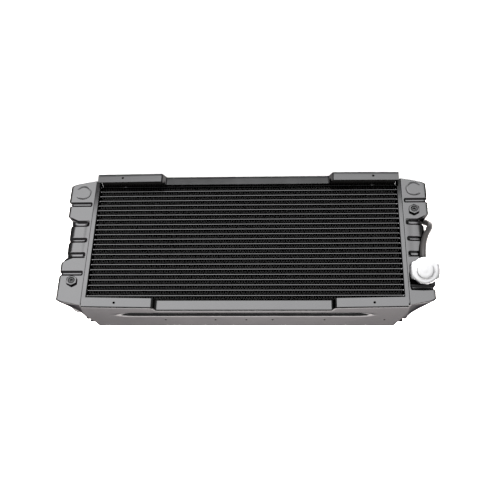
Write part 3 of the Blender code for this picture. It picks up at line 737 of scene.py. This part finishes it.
# %% [markdown]
# ## Tanks
# A tank is one deep pressing, wedge-shaped in section: its face carries two high blocks, a
# lower panel between them and narrow beads that stiffen it. The pressing is a grid. Each row
# is one section across the tank, its depth read from a short list of stations along the tank
# and smoothed, because steel drawn over a die has no sharp corners. The panel's bottom stays
# close to the blocks' level, while its outer edge sinks further. Solidify gives the wall.

# %% Tank stations
MOUTH = 0.3453
CORNER = 0.4055
FACE = 0.0810
BACK = 0.0130
TANK_HALF = 0.1590
NECK_AT = Vector((0.3790, -0.0800, 0.0730))
NECK_TILT = radians(20)
BLOCK = 0.0
BEAD = 0.0032
PANEL = 0.0100
PANEL_FACE = {-1: 0.0010, 1: 0.0014}
PANEL_FROM = BEAD + 0.001
INLET_SHARE = 0.55
TANK_WALL = 0.0016


def bead(centre, level=BLOCK):
    """A narrow sunk bead: (y, depth, skew) stations from +Y to -Y."""
    deep = level + BEAD
    return [(centre + 0.0054, level, 0), (centre + 0.0022, deep, 0), (centre - 0.0022, deep, 0),
            (centre - 0.0054, level, 0)]


def tank_stations(side):
    stations = bead(0.100 if side > 0 else 0.095)
    stations += [(0.0660, BLOCK, 0), (0.0505, BLOCK, 0.55), (0.0468, PANEL + BEAD, 0.45),
                 (0.0400, PANEL + BEAD, 0.15), (0.0372, PANEL, 0)]
    stations += bead(0.0015, PANEL)
    stations += [(-0.0300, PANEL, 0), (-0.0328, PANEL + BEAD, 0), (-0.0396, PANEL + BEAD, -0.1),
                 (-0.0432, BLOCK, -0.55)]
    if side < 0:
        return stations + [(-0.0600, BLOCK, 0)] + bead(-0.082)
    saddle = [(y, FACE - NECK_AT.z - (y - NECK_AT.y) * tan(NECK_TILT), 0) for y in (-0.0600, -0.1080)]
    return stations + [(-0.0570, BLOCK, 0)] + saddle + [(-0.1110, BLOCK, 0)] + bead(-0.119)


# %% Tank sections
ROW_STEP = 0.0006
ROUND_FROM = 0.1420
PANEL_Y = (-0.040, 0.047)
SADDLE_Y = (-0.1120, -0.0560)
SADDLE_EDGE_Y = (-0.1085, -0.0595)
SWELL = 0.0026
SWELL_Y = (0.097, 0.104)
SHOULDER = 0.002
EDGE_R = 0.0115
PANEL_EDGE_R = {-1: 0.0120, 1: 0.0230}
SADDLE_EDGE_R = -0.0085


def outline_share(y):
    """How far the tank reaches out near its two rounded ends, from 0 to 1."""
    t = np.clip((np.abs(y) - ROUND_FROM) / (TANK_HALF - ROUND_FROM), 0, 1)
    return (1 - t ** 2.7) ** 1.21


def blur(values, half):
    """Averages an evenly spaced list over a window, twice."""
    kernel = np.ones(2 * half + 1) / (2 * half + 1)
    for _ in range(2):
        padded = np.concatenate([np.repeat(values[0], half), values, np.repeat(values[-1], half)])
        values = np.convolve(padded, kernel, "valid")
    return values


def tank_rows(side):
    """Even rows along the tank: y, depth, skew, outer edge, its radius, edge depth, rim depth."""
    stations = tank_stations(side)[::-1]
    at = np.array([s[0] for s in stations])
    y = np.arange(-TANK_HALF, TANK_HALF + ROW_STEP / 2, ROW_STEP)
    low = blur(np.interp(y, at, [s[1] for s in stations], 0, 0), 1)
    share = 1.0 if side > 0 else INLET_SHARE
    in_sunk = low > PANEL_FROM
    low = np.where(in_sunk, PANEL_FROM + share * (low - PANEL_FROM), low)
    level = PANEL_FACE[side]
    deep = PANEL_FROM + share * (PANEL - PANEL_FROM)
    sunk = np.interp(low, (PANEL_FROM, deep, deep + share * BEAD), (level * 0.5, level, level + BEAD))
    floor_only = np.interp(low, (PANEL_FROM, deep), (level * 0.5, level))
    in_saddle = (side > 0) & (y > SADDLE_Y[0]) & (y < SADDLE_Y[1])
    depth = np.where(in_sunk & ~in_saddle, sunk, low)
    base = np.where(in_saddle, low, np.where(in_sunk, floor_only, 0.0))
    base = np.minimum(base, depth)
    skew = blur(np.interp(y, at, [s[2] for s in stations], 0, 0), 3)
    saddle = (side > 0) & (y > SADDLE_EDGE_Y[0]) & (y < SADDLE_EDGE_Y[1])
    saddle = blur(saddle.astype(float), 3)
    outer = MOUTH + (CORNER - MOUTH) * outline_share(y)
    if side < 0:
        outer = outer + SWELL * smoothstep(*SWELL_Y, y) * outline_share(y)
    lean = (outer - MOUTH) / (FACE - SHOULDER - BACK)
    wedge = MOUTH + lean * (FACE - low - SHOULDER - BACK)
    edge = wedge + (outer - wedge) * saddle
    in_panel = blur(((y > PANEL_Y[0]) & (y < PANEL_Y[1])).astype(float), 5)
    radius = EDGE_R + PANEL_EDGE_R[side] * in_panel + SADDLE_EDGE_R * saddle
    return y, depth, skew, edge, radius, low, base


# %% One row
RING_AT = {-1: (-0.3740, 0.1270), 1: (0.3740, 0.1310)}
RING_R = 0.0165
RING_WIDTH = 0.0011
RING_SINK = 0.0007
RIM_BAND = 0.0042
BEAD_START = 0.0125
CORNER_REACH = 0.0125
SKEW_FROM = 0.3760


def tank_row(side, y, depth, skew, edge, radius, low, base):
    """One section: rim band, the beads' inner ends, face, rounded edge, sloping back."""
    face = FACE - depth
    span = edge - MOUTH
    radius = min(radius, span / 1.6 if radius > 0.013 else span / 3)
    drop = min(0.0012, span * 0.1)
    shape = [(MOUTH, FACE - drop), (MOUTH + drop * 0.3, FACE - drop * 0.35), (MOUTH + drop, FACE)]
    x0 = MOUTH + min(RIM_BAND, span * 0.15)
    x1 = MOUTH + min(BEAD_START + 0.5 * max(0.0, radius - EDGE_R), span * 0.4)
    shape += [(MOUTH + drop + (x0 - MOUTH - drop) * k / 2, FACE) for k in range(1, 3)]
    for k in range(1, 15):
        share = k / 14
        fall = base * float(smoothstep(0, 1, share)) + (depth - base) * float(smoothstep(0, 0.45, share))
        shape.append((x0 + (x1 - x0) * share, FACE - fall))
    x2 = max(x1, edge - radius)
    shape += [(x1 + (x2 - x1) * k / 26, face) for k in range(1, 27)]
    corner = FACE - low
    down = hypot(span, corner - BACK)
    reach = min(radius, CORNER_REACH)
    end = (edge - span * reach / down, corner - (corner - BACK) * reach / down)
    for k in range(1, 13):
        t = k / 12
        shape.append(((1 - t) ** 2 * x2 + 2 * t * (1 - t) * edge + t * t * end[0],
                      (1 - t) ** 2 * face + 2 * t * (1 - t) * face + t * t * end[1]))
    shape += [(end[0] + (MOUTH - end[0]) * k / 8, end[1] + (BACK - end[1]) * k / 8) for k in range(1, 9)]
    row = []
    for x, z in shape:
        yy = y + skew * max(0.0, x - SKEW_FROM)
        if z > face - 0.0005 and depth < 0.0002:
            ring_x, ring_y = RING_AT[side]
            ring = hypot(side * x - ring_x, yy - ring_y) - RING_R
            opening = abs(atan2(yy - ring_y, (side * x - ring_x) * side))
            groove = float(np.exp(-(ring / RING_WIDTH) ** 2)) * float(smoothstep(0.5, 0.9, opening))
            z -= RING_SINK * groove
        row.append((side * x + CORE_X, yy, z))
    return row


# %% Press a tank
def press_tank(name, side):
    """Rows made into a sheet, its open rim turned in and run into the header, then thickened."""
    rows = [tank_row(side, *values) for values in zip(*tank_rows(side))]
    points = [p for row in rows for p in row]
    obj = mesh_object(name, points, grid_faces(len(rows), len(rows[0])))
    top = [p for p in obj.data.polygons if abs(p.center.z - FACE) < 0.0005]
    if sum(p.normal.z for p in top) < 0:
        obj.data.flip_normals()
    bm = bmesh.new()
    bm.from_mesh(obj.data)
    for inset, run in ((0.0020, 0), (0, -0.0060)):
        rim = [edge for edge in bm.edges if edge.is_boundary]
        grown = bmesh.ops.extrude_edge_only(bm, edges=rim)["geom"]
        for vert in (item for item in grown if isinstance(item, bmesh.types.BMVert)):
            if inset:
                vert.co.y = max(inset - TANK_HALF, min(TANK_HALF - inset, vert.co.y))
                vert.co.z = max(BACK + inset, min(FACE - inset, vert.co.z))
            vert.co.x += side * run
    bm.to_mesh(obj.data)
    bm.free()
    thicken(obj, TANK_WALL)
    return bake(obj)


neck_axis = Matrix.Translation(NECK_AT + Vector((CORE_X, 0, 0))) @ Matrix.Rotation(NECK_TILT, 4, "X")
DRAIN_AT = Vector((0.370 + CORE_X, 0.074, FACE))
VENT_AT = Vector((-0.371 + CORE_X, -0.102, FACE))
OUTLET_AT = Vector((0.3665 + CORE_X, 0.122, 0))
INLET_AT = Vector((-0.3665 + CORE_X, -0.122, 0))
SPIGOT_R = 0.0175
inlet_tank = press_tank("inlet_tank", -1)
outlet_tank = press_tank("outlet_tank", 1)
spigot_cut = [(0, -0.01), (SPIGOT_R + 0.0003, -0.01), (SPIGOT_R + 0.0003, 0.071), (0, 0.071)]
for tank, port_at, spigot_at in ((inlet_tank, VENT_AT, INLET_AT), (outlet_tank, DRAIN_AT, OUTLET_AT)):
    cut(tank, peg("port", port_at, 0.0078, 0.006, False, 48))
    cut(tank, turned("spigot", spigot_cut, Matrix.Translation(spigot_at), 64, False))
neck_cut = [(0, -0.0045), (0.0170, -0.0045), (0.0170, 0.008), (0, 0.008)]
cut(outlet_tank, turned("neck", neck_cut, neck_axis, 64, False))
done(inlet_tank, PAINT, ROOT, ["left_tank"], smooth=50)
done(outlet_tank, PAINT, ROOT, ["right_tank"], smooth=50)

# %% [markdown]
# ## Ports and spigots
# The vent and the drain are hexagonal bosses with a socket-headed plug on a rubber ring. The
# hose spigots on the tanks' backs are short pipes with a bead near the foot. Turned parts are
# profiles swept round an axis; the hexagon is a prism with soft edges and a bore through it.


# %% Hexagonal bosses
HEX_ACROSS = 0.0220
SOCKET_ACROSS = 0.0062


def hex_prism(name, across, low, high, axis):
    corner = across / 2 / cos(pi / 6)
    points = [axis @ Vector((corner * cos(pi * k / 3 + pi / 6), corner * sin(pi * k / 3 + pi / 6), z))
              for z in (low, high) for k in range(6)]
    faces = [(k, (k + 1) % 6, 6 + (k + 1) % 6, 6 + k) for k in range(6)]
    faces += [tuple(range(5, -1, -1)), tuple(range(6, 12))]
    return mesh_object(name, points, faces)


def port(label, at):
    """A boss with its bore, the plug with its socket, and the ring between them."""
    axis = Matrix.Translation(at)
    boss = hex_prism(label + "_hexagon", HEX_ACROSS, 0.0003, 0.0050, axis)
    bevel(boss, 0.0008, 3, 20)
    bake(boss)
    bore = [(0, -0.002), (0.0070, -0.002), (0.0070, 0.0042), (0.0080, 0.0052), (0.0080, 0.009), (0, 0.009)]
    cut(boss, turned("bore", bore, axis, 48, False))
    done(boss, PAINT, ROOT, [label + "_boss"], smooth=40)
    shank = [(0, 0.0012), (0.0032, 0.0012), (0.0034, 0.0036), (0.0038, 0.0038), (0.0058, 0.0038),
             (0.0064, 0.0033), (0.0064, 0.0018), (0.0050, 0.0018), (0.0050, -0.0006),
             (0.0064, -0.0010), (0.0064, -0.0060), (0.0050, -0.0072), (0, -0.0072)]
    plug = turned(label + "_socket_plug", shank, axis, 48, False)
    cut(plug, hex_prism("socket", SOCKET_ACROSS, 0.0006, 0.0050, axis))
    done(plug, PLUG, label + "_screw", [label + "_plug"], smooth=35)
    ring = turned(label + "_ring", rounded([(0.0054, 0.0012), (0.0062, 0.0014), (0.0066, 0.0006),
                                            (0.0062, -0.0002), (0.0054, 0.0)], 0.0003), axis, 48)
    done(ring, RUBBER, label + "_seal_ring", [label + "_seal"], smooth=60)


port("vent", VENT_AT)
port("drain", DRAIN_AT)


# %% Spigots
def spigot(name, at):
    """A short pipe with a hose bead near its foot."""
    r, low, top = SPIGOT_R, 0.004, 0.069
    profile = [(r - 0.0015, top), (r, top), (r, low + 0.0085), (r + 0.0008, low + 0.0076),
               (r + 0.0013, low + 0.0060), (r + 0.0013, low + 0.0046), (r + 0.0008, low + 0.0034),
               (r, low + 0.0026), (r, low + 0.0003), (r - 0.0003, low), (r - 0.0015, low)]
    piece = turned(name + "_pipe", profile, Matrix.Translation(at), 72)
    done(piece, PAINT, ROOT, [name + "_spigot"], smooth=50)


spigot("inlet", INLET_AT)
spigot("outlet", OUTLET_AT)

# %% [markdown]
# ## Filler neck and cap
# The neck is a stepped pipe soldered into the tank's saddle, with a seat low down and a rolled
# rim. The cap is pressed from bright steel: a round disc with two thumb ears, so its outline
# is a circle whose radius grows over two short arcs, and its corners are rolled.

# %% Neck
neck_profile = [(0.0222, 0.0298), (0.0235, 0.0304), (0.0255, 0.0298), (0.0255, 0.0286), (0.0236, 0.0286),
                (0.0236, 0.0106), (0.0200, 0.0096), (0.0165, 0.0090), (0.0165, 0.0016), (0.0205, 0.0012),
                (0.0205, 0.0003), (0.0165, 0.0003), (0.0165, -0.0040), (0.0150, -0.0040), (0.0150, 0.0108),
                (0.0222, 0.0118)]
neck = turned("filler_neck_pipe", rounded(neck_profile, 0.0006), neck_axis, 96)
pipe_axis = neck_axis @ Matrix.Translation((0.0004, 0, 0.0165)) @ Matrix.Rotation(radians(-110), 4, "X")
pipe_cut = [(0, 0.019), (0.0043, 0.019), (0.0043, 0.027), (0, 0.027)]
cut(neck, turned("hole", pipe_cut, pipe_axis, 32, False))
done(neck, PAINT, ROOT, ["filler_neck"], smooth=45)
nipple = turned("overflow_pipe", [(0.0028, 0.0261), (0.0040, 0.0261), (0.0040, 0.0228), (0.0028, 0.0228)],
                pipe_axis, 40)
done(nipple, PAINT, ROOT, ["overflow_nipple"])


# %% Cap shell
BODY_R = 0.0286
EAR_MIDDLE_R = 0.0305
EAR_CORNER_R = 0.0325
EAR_HALF = radians(31)
EAR_FADE = radians(13)
CAP_WALL = 0.0010


def ear_radius(angle):
    """The cap's outline: a round body with two thumb ears, each with two corners."""
    folded = abs(atan2(sin(angle), abs(cos(angle))))
    if folded <= EAR_HALF:
        return EAR_MIDDLE_R + (EAR_CORNER_R - EAR_MIDDLE_R) * (folded / EAR_HALF) ** 2
    past = float(smoothstep(EAR_HALF, EAR_HALF + EAR_FADE, folded))
    return BODY_R + (EAR_CORNER_R - BODY_R) * (1 - past)


COLUMNS = 192
crown, rim, skirt = 0.0360, 0.0348, 0.0240
top_profile = [(0.0042, crown), (0.0100, crown), (0.0158, crown), (0.0166, crown - 0.0001),
               (0.0172, crown - 0.0004), (0.0178, rim + 0.0001), (0.0184, rim), (0.0220, rim),
               (0.0250, rim), (0.0262, rim - 0.0001)]
side_profile = [(0.972, rim - 0.0003), (0.988, rim - 0.0008), (0.997, rim - 0.0016),
                (1.0, rim - 0.0026), (1.0, 0.0300), (1.0, 0.0270), (1.0, skirt + 0.0008), (0.996, skirt)]
around = [2 * pi * i / COLUMNS for i in range(COLUMNS)]
outline = [ear_radius(angle) for angle in around]
outline = list(blur(np.array(outline[-8:] + outline + outline[:8]), 1)[8:-8])
cap_rows = []
for radius, height in top_profile:
    cap_rows += [(radius * cos(angle), radius * sin(angle), height) for angle in around]
for share, height in side_profile:
    cap_rows += [(share * r * cos(angle), share * r * sin(angle), height)
                 for angle, r in zip(around, outline)]
cap_faces = grid_faces(len(cap_rows) // COLUMNS, COLUMNS, True)
cap = mesh_object("cap_pressing", [neck_axis @ Vector(p) for p in cap_rows], cap_faces)
if sum(p.normal.z for p in cap.data.polygons if p.center.z > 0.106) < 0:
    cap.data.flip_normals()
thicken(cap, CAP_WALL)
bake(cap)
done(cap, ZINC, "cap_grip", ["cap_shell"], smooth=50)


# %% Inside the cap
def inside(name, node, profile, material, body, closed=True):
    """A turned piece on the neck's axis; a closed profile gets soft corners."""
    outline = rounded(profile, 0.00025, 2) if closed else profile
    piece = turned(name, outline, neck_axis, 72, closed)
    done(piece, material, body, [node], smooth=40)


inside("cap_centre_rivet", "cap_rivet", [(0, 0.0361), (0.0030, 0.0361), (0.0047, 0.0361),
                                         (0.0051, 0.03605), (0.0051, 0.0360), (0.0032, 0.0360),
                                         (0.0032, 0.0302), (0, 0.0302)], ZINC, "cap_valve", False)
inside("diaphragm_disc", "diaphragm_spring", [(0.0037, 0.0333), (0.0240, 0.0325), (0.0240, 0.0321),
                                              (0.0037, 0.0328)], SPRING, "cap_valve")
inside("neck_gasket", "neck_seal", [(0.0195, 0.0318), (0.0245, 0.0318), (0.0245, 0.0307), (0.0195, 0.0307)],
       RUBBER, "cap_valve")
inside("spring_housing", "spring_cup", [(0.0037, 0.0314), (0.0178, 0.0314), (0.0188, 0.0304),
                                        (0.0188, 0.0150), (0.0170, 0.0150), (0.0170, 0.0158),
                                        (0.0180, 0.0158), (0.0180, 0.0300), (0.0174, 0.0306),
                                        (0.0037, 0.0306)], ZINC, "cap_valve")
inside("pressure_disc", "pressure_plate", [(0.0022, 0.0138), (0.0155, 0.0138), (0.0155, 0.0172),
                                           (0.0176, 0.0172), (0.0176, 0.0164), (0.0164, 0.0164),
                                           (0.0164, 0.0130), (0.0022, 0.0130)], ZINC, "pressure_valve")
inside("pressure_gasket", "pressure_seal", [(0.0046, 0.0127), (0.0166, 0.0127), (0.0166, 0.0121),
                                            (0.0046, 0.0121)], RUBBER, "pressure_valve")
inside("vacuum_stem", "vacuum_valve", [(0, 0.0204), (0.0032, 0.0204), (0.0032, 0.0197), (0.0012, 0.0197),
                                       (0.0012, 0.0124), (0.0036, 0.0124), (0.0036, 0.0118), (0.0070, 0.0118),
                                       (0.0070, 0.0108), (0, 0.0108)], BRASS, "vacuum_valve_stem", False)


# %% Springs
def coil_spring(name, node, body, size, turns, wire):
    """A coil swept by Geometry Nodes: a spiral curve with a round wire section."""
    radius, low, high = size
    sizes = {"Radius": radius, "Height": high - low - 2 * wire, "Turns": float(turns), "Wire": wire}
    tree, given = new_tree(name, sizes)
    spiral = add(tree, "GeometryNodeCurveSpiral", {"Resolution": 40, "Rotations": given["Turns"],
                                                   "Start Radius": given["Radius"],
                                                   "End Radius": given["Radius"],
                                                   "Height": given["Height"]}).outputs[0]
    section = add(tree, "GeometryNodeCurvePrimitiveCircle", {"Resolution": 10,
                                                             "Radius": given["Wire"]}).outputs[0]
    swept = add(tree, "GeometryNodeCurveToMesh", {"Curve": spiral, "Profile Curve": section,
                                                  "Fill Caps": True}).outputs[0]
    close_tree(tree, swept, SPRING)
    spring = set_sizes(node_piece(name, tree), tree, sizes)
    spring.data.transform(neck_axis @ Matrix.Translation((0, 0, low + wire)))
    outward(spring)
    return done(spring, SPRING, body, [node], smooth=60)


def shorten(spring):
    """Gives a spring its own copy of its mesh."""
    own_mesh(spring)


pressure_low, pressure_high = 0.0142, 0.0298
pressure_coil = coil_spring("pressure_coil", "pressure_spring", "cap_valve",
                            (0.0130, pressure_low, pressure_high), 4, 0.0010)
shorten(pressure_coil)
vacuum_low, vacuum_high = 0.0141, 0.0194
vacuum_coil = coil_spring("vacuum_coil", "vacuum_spring", "pressure_valve",
                          (0.0026, vacuum_low, vacuum_high), 3, 0.0004)
shorten(vacuum_coil)

# %% [markdown]
# ## Core supports
# The two core supports keep their CAD shape and only get the satin black of the core.

# %% Core supports
for name in ("upper_core_support", "lower_core_support"):
    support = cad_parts[name]
    for material_slot in support.material_slots:
        material_slot.material = CORE
